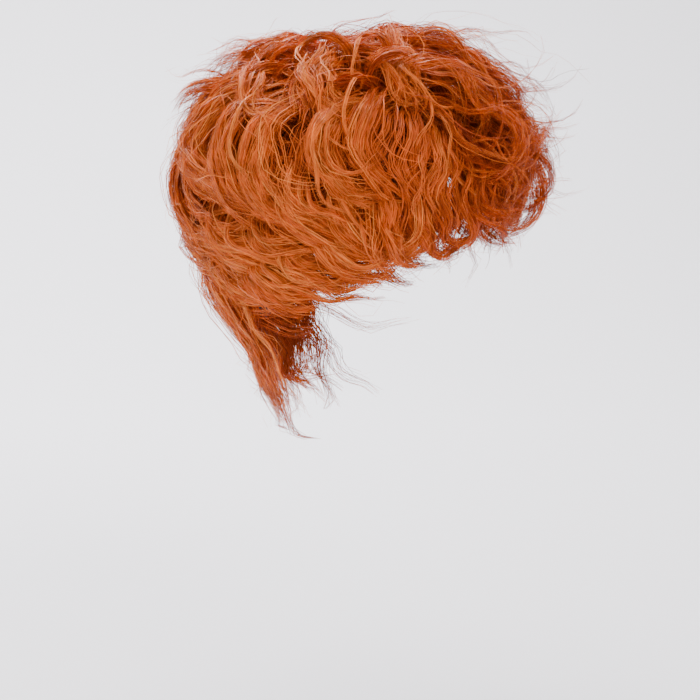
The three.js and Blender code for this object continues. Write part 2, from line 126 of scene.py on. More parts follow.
def seat_of(point):
    """The nearest place on the head to a point, and the way that the head faces there."""
    x, y, z = point
    half, depth = reach_at(y, z)
    rise = max(0.0, z + DOME_HEIGHT)
    share = Vector((x / half, y / depth, rise / DOME_HEIGHT))
    reach = max(share.length, 1e-6)
    base = Vector((x / reach, y / reach, min(z, -DOME_HEIGHT) + rise / reach))
    normal = Vector((share.x / half, share.y / depth, share.z / DOME_HEIGHT)).normalized()
    return base, normal


def over_head(facing, angle, height):
    """A point over the head on a meridian: past 90 degrees it goes on straight down."""
    turn, dip = math.radians(facing), math.radians(min(angle, 90))
    z = DOME_HEIGHT * (math.cos(dip) - 1) - DOME_HEIGHT * math.radians(max(0, angle - 90))
    ahead = -math.cos(turn) * math.sin(dip)
    half, depth = reach_at(ahead, z)
    point = Vector((-half * math.sin(turn) * math.sin(dip), depth * ahead, z))
    return point + seat_of(point + Vector((0, 0, 1e-4)))[1] * height


def angles_of(point):
    """Which way the meridian of a point faces, and how far down it the point lies."""
    base, _ = seat_of(point)
    half, depth = reach_at(base.y, base.z)
    facing = math.degrees(math.atan2(-base.x / half, -base.y / depth))
    if base.z > -DOME_HEIGHT:
        return facing, math.degrees(math.acos(min(1, max(-1, base.z / DOME_HEIGHT + 1))))
    return facing, 90 + math.degrees((-DOME_HEIGHT - base.z) / DOME_HEIGHT)


def cap_edge(facing):
    return look_up(CAP_EDGE, "facing", "angle", abs((facing + 540) % 360 - 180))


print("The nape edge of the cap lies at", [round(v) for v in over_head(180, cap_edge(180), 0)])

# %% [markdown]
# ## How a lock lies
# A curled lock is a line that turns at its own rate while it follows the head. It could be
# drawn by hand as a curve, but then nothing would keep it on the head. Walking it in short
# steps is easier: each step turns the heading a little, and then puts the lock back at its
# height. Combed locks turn about the head's own normal. Standing locks, such as those of the
# fringe, curl in an upright plane and only keep a least distance. A few curls have sprung
# back into rings, and those are arcs in such a plane.

# %% Walk a lock
STEPS = 32
# Shares of a lock's length: where it has risen to its lift, where it starts to fall to its
# tip, how soon a standing lock has its least distance, and how much of the end may hook
RISEN_BY = 0.3
FALLS_FROM = 0.45
CLEAR_BY = 0.25
HOOK_SHARE = 0.3
MEAN_DEPTH = (HEAD_FRONT + HEAD_BACK) / 2
MEAN_RADIUS = (HEAD_BREADTH / 2 + HEAD_FRONT) / 2


def turn_at(t, row):
    """The turn of one step: bend over the first half, curl over the second, hook at the end."""
    turn = (row["bend"] if t < 0.5 else row["curl"]) * 2 / STEPS
    if t >= 1 - HOOK_SHARE:
        turn += row.get("hook", 0) / (HOOK_SHARE * STEPS)
    return math.radians(turn)


def combed_path(start, ahead, row):
    """Points along a lock that lies over the head, and the way that it faces at each."""
    step = row["length"] * LOCK_LENGTH / STEPS
    low, lift, tip = (row[k] * HAIR_DEPTH for k in ("low", "lift", "tip"))
    foot, direction = Vector(start), Vector(ahead)
    points, flats = [], []
    for i in range(STEPS + 1):
        t = i / STEPS
        height = low + (lift - low) * smooth(t / RISEN_BY)
        height += (tip - lift) * smooth((t - FALLS_FROM) / (1 - FALLS_FROM))
        base, normal = seat_of(foot)
        direction = (direction - normal * direction.dot(normal)).normalized()
        points.append(base + normal * height)
        flats.append(normal)
        direction = Matrix.Rotation(turn_at(t, row), 3, normal) @ direction
        foot = base + direction * step * MEAN_RADIUS / (MEAN_RADIUS + height)
    return np.array(points), np.array(flats)


def standing_path(start, row):
    """The same for a lock that curls in an upright plane."""
    step = row["length"] * LOCK_LENGTH / STEPS
    fan = math.radians(row["fan"])
    ahead = Vector((-math.sin(fan), -math.cos(fan), 0))
    axis = ahead.cross(Vector((0, 0, 1)))
    direction = Matrix.Rotation(math.radians(row["heading"]), 3, axis) @ ahead
    base, normal = seat_of(start)
    place = base + normal * row["root"] * HAIR_DEPTH
    points, flats = [], []
    for i in range(STEPS + 1):
        t = i / STEPS
        points.append(place.copy())
        flats.append(direction.cross(axis))
        direction = Matrix.Rotation(turn_at(t, row), 3, axis) @ direction
        place = place + direction * step
        base, normal = seat_of(place)
        least = row["root"] + (row["low"] - row["root"]) * smooth(t / CLEAR_BY)
        short = least * HAIR_DEPTH - (place - base).dot(normal)
        place = place + normal * max(0.0, short)
    return np.array(points), np.array(flats)


def on_right_side(ahead, up):
    """A place on the head's right side, seen from that side."""
    y = -ahead * MEAN_DEPTH
    z = up * DOME_HEIGHT
    half, depth = reach_at(y, z)
    left = 1 - (y / depth) ** 2 - (max(0.0, z + DOME_HEIGHT) / DOME_HEIGHT) ** 2
    return Vector((-half * math.sqrt(max(4e-4, left)), y, z))


def ring_path(row):
    """A curl that has sprung back into a ring, in an upright plane. It closes in a little."""
    fan = math.radians(row["fan"])
    ahead = np.array((-math.sin(fan), -math.cos(fan), 0))
    up = np.array((0, 0, 1))
    out = row["out"] * HEAD_BREADTH / 2
    centre = np.array((-out, -row["ahead"] * MEAN_DEPTH, row["up"] * DOME_HEIGHT))
    turn = np.radians(row["start"] + row["sweep"] * np.linspace(0, 1, STEPS + 1))[:, None]
    flats = ahead * np.cos(turn) + up * np.sin(turn)
    reach = row["radius"] * HAIR_DEPTH * np.linspace(1.08, 0.9, STEPS + 1)[:, None]
    return centre + flats * reach, flats


print("One lock has", STEPS, "steps")

# %% [markdown]
# ## The locks
# These tables are the hairdresser's plan of the wig, one row for each lock. Most rows stand in
# the CAD source too, with the same numbers; the rest only fill or loosen its forms. Angles
# are in degrees, and every length is a share of LOCK_LENGTH, LOCK_WIDTH or HAIR_DEPTH. On the
# side, `ahead` and `up` place the root as seen from the right, `heading` is measured from
# straight ahead towards up, and `bend` and `curl` are how far the lock turns in its first and
# its second half.

# %% Tables of locks
SIDE_LOCKS = rows(
    "ahead up heading bend curl length width lift tip",
    (0.18, -0.3, 205, 85, 90, 0.8, 1.15, 1.0, 0.9),
    (-0.12, -0.26, 215, 60, 95, 0.96, 1.05, 0.98, 0.85),
    (-0.4, -0.24, 222, 55, 75, 0.9, 1.05, 0.96, 0.82),
    (-0.62, -0.24, 220, 60, 55, 0.89, 1.1, 0.96, 0.78),
    (-0.9, -0.28, 205, 85, 25, 0.96, 1.15, 1.0, 0.75),
    (0.38, -0.26, 225, 60, 60, 0.75, 1.0, 1.1, 0.87),
    (0.53, -0.3, 235, 45, 60, 0.75, 0.85, 1.05, 0.6),
    (-0.94, -0.6, 240, 70, 70, 1.1, 1.1, 0.92, 0.6),
    (-1.02, -0.75, 245, 65, 75, 1.12, 1.15, 0.87, 0.5),
    (-0.73, -0.85, 240, 80, 65, 0.82, 1.0, 0.85, 0.5),
    (-0.46, -1.0, 270, 70, 60, 0.54, 0.9, 0.75, 0.45),
    (-0.8, -1.17, 265, 55, 55, 0.66, 1.1, 0.75, 0.4),
    (-0.42, -0.21, 170, 35, 10, 0.7, 1.2, 1.0, 1.1),
    (0.12, -0.75, 262, 50, 60, 0.55, 0.9, 0.78, 0.5),
    (-0.2, -0.66, 262, 65, 60, 0.66, 1.0, 0.88, 0.5),
    (0.42, -0.1, 200, 110, 80, 0.6, 1.0, 1.1, 1.0),
    (0.05, -0.08, 205, 100, 80, 0.62, 1.0, 1.08, 0.95),
    (-0.34, -0.12, 210, 90, 60, 0.62, 1.0, 1.05, 0.95),
    (0.1, -0.04, 20, -60, -40, 0.55, 1.1, 1.0, 1.0),
    (-0.22, -0.05, 150, 60, 70, 0.6, 1.1, 1.05, 1.0),
    (0.62, -0.36, 250, 5, 60, 0.82, 0.8, 1.0, 0.6),
    (0.77, -0.48, 245, 10, 45, 0.74, 0.85, 1.0, 0.6),
    (0.84, -0.5, 258, 10, 75, 0.62, 0.9, 1.1, 0.6),
    (0.9, -0.56, 265, 15, -20, 0.55, 0.9, 1.1, 0.7),
    (-0.94, -1.04, 258, 60, 40, 0.66, 1.0, 0.8, 0.5),
    (-0.3, -1.13, 275, 55, 50, 0.58, 0.95, 0.75, 0.45),
    (0.0, -1.04, 275, 55, 60, 0.5, 0.9, 0.75, 0.45),
    (0.36, -0.85, 268, 15, 60, 0.46, 0.7, 0.9, 0.6),
    (0.56, -0.8, 285, -25, -40, 0.44, 0.6, 0.9, 0.7),
    (-0.45, -1.25, 275, 50, 50, 0.5, 1.0, 0.8, 0.45),
)
# Locks that stand: out is the distance from the middle of the head towards the right, and
# fan is how far the plane of the curl is turned from straight ahead towards the right
STANDING_LOCKS = rows(
    "out ahead up fan heading bend curl length width low",
    (0.12, 0.26, -0.05, 0, 64, -80, -60, 0.8, 1.1, 0.75),
    (-0.1, 0.62, -0.11, 0, 72, -110, -50, 0.74, 1.1, 0.75),
    (0.25, 0.7, -0.21, 5, 45, -110, 90, 0.68, 1.2, 0.8),
    (0.35, 0.82, -0.35, 12, 35, -125, 80, 0.64, 1.2, 0.7),
    (0.4, 0.87, -0.43, 15, 35, -140, -20, 0.62, 1.0, 0.7),
    (0.15, 0.7, -0.3, 5, 35, -75, -120, 0.75, 1.1, 0.75),
    (0.66, 0.82, -0.37, 18, 10, -90, 80, 0.64, 1.1, 0.6),
    (0.72, 0.87, -0.45, 15, 55, -140, -60, 0.64, 1.0, 0.7),
    (0.6, 0.9, -0.57, 15, -30, 50, 70, 0.52, 0.8, 0.6),
    (0.6, -0.42, -0.19, 0, 140, -160, -180, 0.63, 0.6, 0.9),
    (0.66, 0.42, -0.2, 0, 130, 110, 130, 0.63, 0.7, 0.95),
    (0.13, 0.02, 0, 0, 56, -75, -50, 0.8, 1.1, 0.75),
    (0.3, 0.08, -0.05, 0, 50, -70, -70, 0.78, 1.1, 0.8),
    (0.46, 0.26, -0.13, 5, 48, -70, -90, 0.82, 1.1, 0.9),
    (0.6, 0.42, -0.21, 12, 40, -110, 60, 0.74, 1.2, 0.95),
    (0.26, -0.26, -0.05, 0, 155, 30, 20, 0.56, 1.1, 0.85),
    (0.4, -0.58, -0.16, 0, 175, 10, 30, 0.5, 1.1, 0.85),
    (0.3, 0.85, -0.42, 8, 20, -60, -150, 0.76, 1.2, 0.7),
    (0.14, -0.28, -0.05, 0, 50, -45, -50, 0.56, 1.1, 0.95),
    (0.42, -0.22, -0.09, 0, 55, -50, -60, 0.54, 1.0, 0.95),
)
# The same for the middle of the brow, where no lock is mirrored
BROW_LOCKS = rows(
    "out ahead up fan heading bend curl length width low",
    (0.0, 0.86, -0.36, 0, 30, -120, 60, 0.66, 1.3, 0.7),
    (-0.28, 0.84, -0.34, -8, 40, -130, -40, 0.64, 1.2, 0.7),
    (0.2, 0.92, -0.5, 6, 10, -100, 70, 0.55, 1.1, 0.6),
)
# facing and angle place the root; heading is from straight down towards the wearer's right
BACK_LOCKS = rows(
    "facing angle heading bend curl length width lift tip",
    (150, 42, 20, -60, 70, 0.75, 1.2, 1.1, 1.2),
    (172, 40, -25, 70, -90, 0.75, 1.2, 1.1, 1.0),
    (196, 43, 25, -70, 80, 0.75, 1.2, 1.1, 1.1),
    (162, 66, -25, 80, -90, 0.72, 1.1, 1.1, 0.85),
    (186, 64, 30, -80, 90, 0.72, 1.1, 1.1, 0.8),
    (210, 66, -25, 70, -90, 0.72, 1.1, 1.05, 0.9),
    (176, 86, -20, 60, -80, 0.66, 1.0, 0.85, 0.55),
    (198, 86, 25, -60, 80, 0.66, 1.0, 0.85, 0.55),
    (165, 9, 35, -60, 70, 0.6, 1.1, 1.05, 1.05),
    (215, 14, -30, 60, -70, 0.6, 1.1, 1.05, 1.05),
    (105, 15, 40, -50, 60, 0.5, 1.0, 1.0, 1.0),
    (258, 17, -40, 50, -60, 0.5, 1.0, 1.0, 1.0),
    (188, 27, 25, -70, 60, 0.5, 1.0, 1.0, 1.1),
    (178, 98, 5, -30, 60, 1.12, 1.2, 0.7, 0.35),
    (60, 9, 60, -60, -70, 0.5, 1.2, 1.1, 1.1),
    (290, 9, -60, 60, 70, 0.5, 1.2, 1.1, 1.1),
)
NAPE_LOCKS = rows(
    "facing angle heading bend curl length width lift tip",
    (160, 100, 12, 5, -50, 1.1, 1.2, 0.7, 0.4),
    (146, 106, 20, -22, -10, 1.0, 1.2, 0.6, 0.4),
    (166, 118, 24, -30, 60, 0.95, 1.1, 0.6, 0.45),
    (148, 118, 24, -30, -60, 0.85, 1.1, 0.6, 0.5),
)
# Thin wisps that hang loose below the temple and the ear
WISPS = rows(
    "ahead up heading bend curl length width lift tip",
    (0.57, -0.85, 262, 25, 115, 0.54, 0.24, 1.0, 0.8),
    (0.69, -0.76, 243, 40, 135, 0.6, 0.24, 1.05, 0.8),
    (0.39, -0.8, 265, 15, 60, 0.36, 0.26, 0.95, 0.65),
    (0.75, -0.82, 300, -15, -90, 0.48, 0.24, 1.05, 0.8),
    (0.88, -0.88, 318, 10, 50, 0.38, 0.26, 1.1, 0.9),
    (0.93, -0.7, 285, -20, 100, 0.34, 0.26, 1.1, 0.9),
    (0.2, -0.9, 272, 20, 90, 0.3, 0.26, 0.85, 0.5),
)
# Curls that have sprung into rings and hooks; start and sweep are angles round the ring.
# Those on the left sit a little lower and nearer the middle, so that the two sides differ.
RINGS = rows(
    "out ahead up fan radius start sweep width",
    (0.7, -0.09, 0.1, 0, 0.7, -60, 330, 0.45),
    (0.6, 0.25, 0.2, 0, 0.42, -100, 300, 0.3),
    (0.84, 0.49, -0.04, 5, 0.68, 50, 210, 0.5),
    (0.36, 1.4, -0.76, 0, 0.62, 100, -220, 0.34),
    (0.16, 1.1, -0.26, 0, 0.8, 130, -200, 0.45),
    (0.56, 1.16, -0.5, 8, 0.8, 110, -230, 0.45),
    (0.3, 0.72, 0.1, 0, 0.7, 160, -190, 0.5),
    (0.8, 0.92, -0.4, 10, 0.75, 110, 210, 0.45),
    (0.33, 1.3, -1.02, 0, 0.72, 130, 150, 0.34),
    (0.3, 1.22, -0.88, 0, 0.9, 40, -125, 0.4),
    (0.62, 1.12, -0.98, 8, 0.8, 120, 150, 0.34),
    (0.4, -0.62, 0.02, 0, 0.6, 40, 200, 0.5),
    (0.66, -0.5, -0.12, -10, 0.55, 60, 210, 0.45),
)
locks = SIDE_LOCKS + STANDING_LOCKS + BROW_LOCKS + BACK_LOCKS + NAPE_LOCKS
print("Locks:", len(locks), "wisps:", len(WISPS), "rings:", len(RINGS))

# %% [markdown]
# ## From a row to a lock
# No two locks of a real wig are alike, even where the plan says they are. So a row is changed
# a little each time it is laid. The changes could be typed in, but chance does it better, and
# one seeded generator makes the wig the same each time. Each kind of row starts its lock in
# its own way, and a lock's section of the wig follows from where its root is.

# %% Change and lay a row
chance = random.Random(11)
# How far one clump may differ from its row: added to a column, or multiplied where it is
# a share of the row's own value
ADDED = {"ahead": 0.06, "up": 0.045, "out": 0.06, "facing": 6, "angle": 5, "heading": 8, "fan": 6}
MULTIPLIED = {"bend": 0.22, "curl": 0.3, "length": 0.15, "lift": 0.1, "tip": 0.16, "low": 0.1}
# Where the sections meet, as degrees down from the crown and round from the forehead
CROWN_ENDS = 35
NAPE_STARTS = 94
FRINGE_ENDS = 55
BACK_STARTS = 140


def changed(row, amount):
    """A copy of a row with small changes: amount 1 reaches as far as the tables above."""
    new = dict(row)
    for key in row:
        swing = max(-1.0, min(1.0, chance.gauss(0, 0.6))) * amount
        new[key] += ADDED.get(key, 0) * swing
        new[key] *= 1 + MULTIPLIED.get(key, 0) * swing
    return new


def lay_side(row, root):
    heading = math.radians(row["heading"])
    ahead = Vector((0, -math.cos(heading), math.sin(heading)))
    start = on_right_side(row["ahead"], row["up"])
    return combed_path(start, ahead, {**row, "low": root * row["lift"]})


def lay_standing(row, root):
    start = on_right_side(row["ahead"], row["up"])
    start.x = -row["out"] * HEAD_BREADTH / 2
    return standing_path(start, {**row, "root": root * row["low"]})


def lay_back(row, root):
    start = over_head(row["facing"], row["angle"], 0)
    down = (over_head(row["facing"], row["angle"] + 1, 0) - start).normalized()
    ahead = Matrix.Rotation(math.radians(row["heading"]), 3, seat_of(start)[1]) @ down
    return combed_path(start, ahead, {**row, "low": root * row["lift"]})


def section_of(root):
    facing, angle = angles_of(root)
    if angle < CROWN_ENDS:
        return "crown_hair"
    if abs(facing) > BACK_STARTS:
        return "back_hair" if angle < NAPE_STARTS else "nape_hair"
    if abs(facing) < FRINGE_ENDS:
        return "fringe_hair"
    return "right_side_hair" if facing > 0 else "left_side_hair"


print("Two thirds down the back is", section_of(over_head(180, cap_edge(180) * 2 / 3, 0)))

# %% [markdown]
# ## Layers of a lock
# A lock isn't one smooth tail. It breaks up into clumps that curl a little more or less than
# it does, shorter hair fills the room under them, and a few thin wisps on top end in a hook.
# Modelling each of these by hand would take days. Laying the same row again in layers, each
# with its own height, width and freedom, gives the same depth.

# %% Layers and clumps
# How each row is laid: times it is laid, how much it changes, the height of its root and of
# the whole lock as shares, its width and its number of strands as shares, the depth that sets
# its painted shade (deeper layers take darker tones, and those on top lighter ones as painted
# highlight), and the most that its end may hook, in degrees. The layers are the lock, the hair
# under it, the hair at the cap, hooked wisps on top, and a thin veil that blurs where two locks
# meet.
LAYERS = rows(
    "times change root height width strands depth hook",
    (7, 0.7, 0.45, 1.0, 0.36, 1.0, 0.0, 40),
    (3, 1.4, 0.3, 0.75, 0.5, 1.0, 0.4, 60),
    (2, 2.2, 0.2, 0.45, 0.75, 0.9, 0.9, 30),
    (3, 1.6, 0.5, 1.06, 0.16, 0.45, -0.3, 150),
    (2, 1.4, 0.5, 1.04, 1.3, 0.3, 0.0, 60),
)
WISP_LAYERS = rows(
    "times change root height width strands depth hook",
    (6, 0.35, 0.7, 1.0, 1.0, 1.0, 0.1, 40),
)
# How far the waves of a lock swing to each side, in mm, and how long they are
WAVES = {"fringe_hair": 2.8, "crown_hair": 3.0, "back_hair": 2.6, "nape_hair": 2.8}
SIDE_WAVES = 2.0
WAVE_PITCH = (36, 54)


def clump_of(points, flats, mirror, **rest):
    """One clump, on its own side, with the section that its root is in."""
    if mirror:
        points = points * (-1, 1, 1)
        flats = flats * (-1, 1, 1)
    return {"points": points, "flats": flats, "section": section_of(points[0]), **rest}


def clumps_of(row, lay, mirror, layers):
    """All the clumps of one lock. They share the lock's wave."""
    pitch = chance.uniform(*WAVE_PITCH)
    phase = chance.uniform(0, 2 * math.pi)
    width = row["width"] * LOCK_WIDTH
    for layer in layers:
        for _ in range(layer["times"]):
            new = changed(row, layer["change"])
            new["hook"] = layer["hook"] * chance.uniform(-1, 1)
            for key in ("lift", "tip", "low"):
                if key in new:
                    new[key] *= layer["height"]
            points, flats = lay(new, layer["root"])
            clump = clump_of(
                points, flats, mirror, width=width * layer["width"], half=width / 2,
                aside=width * chance.uniform(-0.42, 0.42), length=new["length"] * LOCK_LENGTH,
                depth=layer["depth"], strands=layer["strands"], pitch=pitch,
                phase=phase + chance.gauss(0, 0.45),
            )
            yield {**clump, "wave": WAVES.get(clump["section"], SIDE_WAVES)}


def ring_clumps(row, mirror, times=5):
    """The clumps of one ring curl, which lie nearly in each other's track."""
    if mirror:
        row = {**row, "up": row["up"] - 0.12, "ahead": row["ahead"] * 0.9}
    width = row["width"] * LOCK_WIDTH
    for _ in range(times):
        new = changed(row, 0.25)
        new["radius"] *= chance.uniform(0.86, 1.08)
        new["start"] += chance.uniform(-20, 20)
        points, flats = ring_path(new)
        yield clump_of(
            points, flats, mirror, width=width, half=width / 2, aside=0.0,
            length=math.radians(abs(new["sweep"])) * new["radius"] * HAIR_DEPTH,
            # depth -0.25 gives the rings lighter tones, a painted highlight on curls that stand out
            depth=-0.25, strands=0.8, pitch=60.0, phase=0.0, wave=1.2,
        )


print("Clumps to a lock:", sum(layer["times"] for layer in LAYERS))

# %% [markdown]
# ## Lay the whole wig
# The sides, the fringe and the nape are laid twice, the second time mirrored. The brow and the
# back have rows for both sides. Every clump is then sorted into its section, because each
# section stands for one solid of the CAD model.

# %% Lay all the rows
clumps = []
for table, lay, mirrors, layers in (
    (SIDE_LOCKS, lay_side, (False, True), LAYERS),
    (STANDING_LOCKS, lay_standing, (False, True), LAYERS),
    (BROW_LOCKS, lay_standing, (False,), LAYERS),
    (BACK_LOCKS, lay_back, (False,), LAYERS),
    (NAPE_LOCKS, lay_back, (False, True), LAYERS),
    (WISPS, lay_side, (False, True), WISP_LAYERS),
):
    for row in table:
        for mirror in mirrors:
            clumps.extend(clumps_of(row, lay, mirror, layers))
for row in RINGS:
    for mirror in (False, True):
        clumps.extend(ring_clumps(row, mirror))
sections = {}
for clump in clumps:
    sections.setdefault(clump["section"], []).append(clump)
print("Clumps:", {name: len(found) for name, found in sections.items()})

# %% [markdown]
# ## Colours and a node helper
# Colours are written as they would be picked from a swatch, in sRGB hex, and turned to the
# linear values that Blender works in. One function adds a shader node with its settings and
# links, so that each material below reads as a list.

# %% Colour and node helpers
def linear(swatch):
    """A linear RGBA colour from an sRGB hex swatch."""
    parts = [int(swatch[i:i + 2], 16) / 255 for i in (1, 3, 5)]
    return [c / 12.92 if c <= 0.04045 else ((c + 0.055) / 1.055) ** 2.4 for c in parts] + [1]


def add_node(tree, kind, links=(), **settings):
    """A node with its settings; links are (from socket, to input) pairs."""
    node = tree.nodes.new(kind)
    inputs = settings.pop("inputs", {})
    for name, value in settings.items():
        setattr(node, name, value)
    for name, value in inputs.items():
        node.inputs[name].default_value = value
    for source, target in links:
        tree.links.new(source, node.inputs[target])
    return node


def surface(name, swatch, roughness, **inputs):
    """A new material of one Principled shader, and that shader."""
    material = bpy.data.materials.new(name)
    material.use_nodes = True
    shader = material.node_tree.nodes["Principled BSDF"]
    shader.inputs["Base Color"].default_value = linear(swatch)
    shader.inputs["Roughness"].default_value = roughness
    for socket, value in inputs.items():
        shader.inputs[socket.replace("_", " ")].default_value = value
    return material, shader


print("Copper in linear light:", [round(c, 3) for c in linear("#C4622A")[:3]])

# %% [markdown]
# ## Fibre colours
# The hair is heat-resistant polyester fibre, spun with the pigment in it. To the eye it has a
# satin gloss rather than the shine of nylon. No two fibres have quite the same colour, and
# light is lost between them, so a lock runs from a red-brown painted shade near the cap to a
# pale copper painted highlight at its outer fibres. A texture could paint that, but each wisp
# here is its own strip of mesh, so it is sharper to give each strip one of a few tones. The
# tone itself drifts a little over each centimetre, so that no strip has one flat colour.

# %% Fibre materials
# From dark to pale: the dark tones are painted shade for fibres that lie deep, and the light and pale
# ones are a painted highlight on the outer fibres; chance mixes them too.
FIBRE_TONES = rows(
    "name swatch roughness",
    ("spun_fibre_shadow", "#78270A", 0.5),
    ("spun_fibre_deep", "#9A370F", 0.46),
    ("spun_fibre_copper", "#B84914", 0.43),
    ("spun_fibre_orange", "#C9561B", 0.42),
    ("spun_fibre_light", "#D86826", 0.41),
    ("spun_fibre_pale", "#E27C36", 0.4),
)
# The fringe's fibre is redder, and its tones are also a step darker as painted shade, since the fringe
# lies in less light than the crown.
FRINGE_TONES = rows(
    "name swatch roughness",
    ("fringe_fibre_shadow", "#6A2008", 0.5),
    ("fringe_fibre_deep", "#8A2F0D", 0.46),
    ("fringe_fibre_copper", "#A83F12", 0.43),
    ("fringe_fibre_orange", "#BB4B18", 0.42),
    ("fringe_fibre_light", "#CC5A20", 0.41),
    ("fringe_fibre_pale", "#D86F2E", 0.4),
)


def fibre_materials(tones):
    """One material for each tone, mottled over about a centimetre and duller where darker."""
    gloss = {"IOR": 1.55, "Specular_IOR_Level": 0.28, "Specular_Tint": linear("#F2BC98")}
    made = []
    for tone in tones:
        material, shader = surface(tone["name"], tone["swatch"], tone["roughness"], **gloss)
        tree = material.node_tree
        place = add_node(tree, "ShaderNodeTexCoord")
        mottle = add_node(
            tree, "ShaderNodeTexNoise", [(place.outputs["Object"], "Vector")],
            inputs={"Scale": 90.0, "Detail": 3.0},
        )
        ramp = add_node(tree, "ShaderNodeValToRGB", [(mottle.outputs["Fac"], "Fac")])
        for element, position, share in zip(ramp.color_ramp.elements, (0.3, 0.7), (0.74, 1.2)):
            element.position = position
            element.color = [c * share for c in linear(tone["swatch"])[:3]] + [1]
        tree.links.new(ramp.outputs["Color"], shader.inputs["Base Color"])
        dull = add_node(
            tree, "ShaderNodeMapRange", [(mottle.outputs["Fac"], "Value")],
            inputs={"To Min": tone["roughness"] + 0.08, "To Max": tone["roughness"] - 0.06},
        )
        tree.links.new(dull.outputs["Result"], shader.inputs["Roughness"])
        made.append(material)
    return made


spun_fibre = fibre_materials(FIBRE_TONES)
fringe_fibre = fibre_materials(FRINGE_TONES)
print("Fibre tones:", len(spun_fibre), "and", len(fringe_fibre))

# %% [markdown]
# ## Strands
# The fibres of a wig are less than a tenth of a millimetre thick, and there are too many to
# model one by one. A strip here is about half a millimetre wide, so it stands for a small wisp
# of them, and it narrows towards its end. Each strip is turned at random about its own length,
# so a lock catches the light in streaks. Blender's own hair curves would be lighter to make,
# but the model has to leave as plain mesh, so the strips are built from arrays.

# %% Strand settings
STRAND_WIDTH = 0.55
SEGMENTS = 11
MOST_STRANDS = 60
STRAY_SHARE = 0.14
# Thickness of a clump as a share of its width, and how far the middle of a lock stands above
# its edges as a share of its half width
CLUMP_FLATNESS = 0.6
ROLL = 0.5
MOST_TRIANGLES = {
    "right_side_hair": 190000, "left_side_hair": 165000, "fringe_hair": 190000,
    "crown_hair": 175000, "back_hair": 150000, "nape_hair": 80000,
}
numbers = np.random.default_rng(5)


def bundle(clump, count):
    """Centre lines of the strands of one clump, the way that each faces and how high it lies."""
    points, flats = clump["points"], clump["flats"]
    along = np.gradient(points, axis=0)
    along /= np.linalg.norm(along, axis=1)[:, None]
    sides = np.cross(flats, along)
    sides /= np.linalg.norm(sides, axis=1)[:, None]
    steps = np.linspace(0, 1, len(points))

    ends = 1 - numbers.beta(1.2, 4, count) * 0.6
    starts = numbers.uniform(0, 0.14, count)
    t = starts[:, None] + np.linspace(0, 1, SEGMENTS + 1)[None, :] * (ends - starts)[:, None]

    def at(values):
        return np.stack([np.interp(t, steps, values[:, k]) for k in range(3)], axis=-1)

    centre, side, flat = at(points), at(sides), at(flats)
    turn = numbers.uniform(0, 2 * math.pi, count)
    reach = numbers.uniform(0, 1, count) ** 0.6
    across = (reach * np.cos(turn))[:, None]
    deep = (reach * np.sin(turn))[:, None]
    # wide at the root, full before the middle, gathered to a few millimetres at the tip
    gather = 0.8 + 0.25 * np.sin(math.pi * np.clip(t / 0.7, 0, 1))
    gather *= 1 - 0.7 * np.clip((t - 0.35) / 0.65, 0, 1) ** 1.3
    half = clump["width"] / 2
    travel = 2 * math.pi * t * clump["length"]
    ripple = clump["wave"] * np.sin(travel / clump["pitch"] + clump["phase"]) * np.clip(t * 3, 0, 1)
    # a stray strand leaves its neighbours by some millimetres, the others hardly at all
    stray = np.where(numbers.uniform(0, 1, count) < STRAY_SHARE, numbers.uniform(2, 8, count), 0.6)
    bows = numbers.normal(0, 1, (4, count, 1)) * stray[:, None] * t ** 1.3
    frizz = np.sin(travel / numbers.uniform(24, 60, (count, 1)) + numbers.uniform(0, 6.3, (count, 1)))
    across = across * half * gather + clump["aside"] * gather + ripple + bows[0] + bows[1] * frizz
    deep = deep * half * CLUMP_FLATNESS * gather + 0.5 * ripple + np.abs(bows[2]) * 0.6 + bows[3] * frizz
    # a lock is rolled: its middle stands higher than its edges
    edge = np.clip(np.abs(across) / clump["half"], 0, 1.3)
    deep = deep + ROLL * clump["half"] * (1 - edge ** 2) * (1 - t ** 3)
    return centre + side * across[..., None] + flat * deep[..., None], flat, deep


def strips(lines, flats):
    """Corners of flat strips along lines, each turned at random about its own length."""
    along = np.gradient(lines, axis=1)
    along /= np.linalg.norm(along, axis=2)[..., None] + 1e-9
    side = np.cross(flats, along)
    side /= np.linalg.norm(side, axis=2)[..., None] + 1e-9
    tilt = numbers.normal(0, 0.55, (len(lines), 1, 1))
    side = side * np.cos(tilt) + np.cross(along, side) * np.sin(tilt)
    t = np.linspace(0, 1, lines.shape[1])[None, :, None]
    width = STRAND_WIDTH * numbers.uniform(0.7, 1.2, (len(lines), 1, 1)) * (1 - 0.7 * t ** 2.5)
    return np.stack([lines - side * width / 2, lines + side * width / 2], axis=2)


print("A strand has", SEGMENTS * 2, "triangles")

# %% [markdown]
# ## From arrays to a mesh
# Blender takes whole arrays of corners and faces at once, which is hundreds of times faster
# than adding faces one by one. A strand's tone follows from how deep it lies: under-locks and
# the inner fibres of a lock are dark as painted shade, the outer fibres are light as painted
# highlight, and chance mixes them.

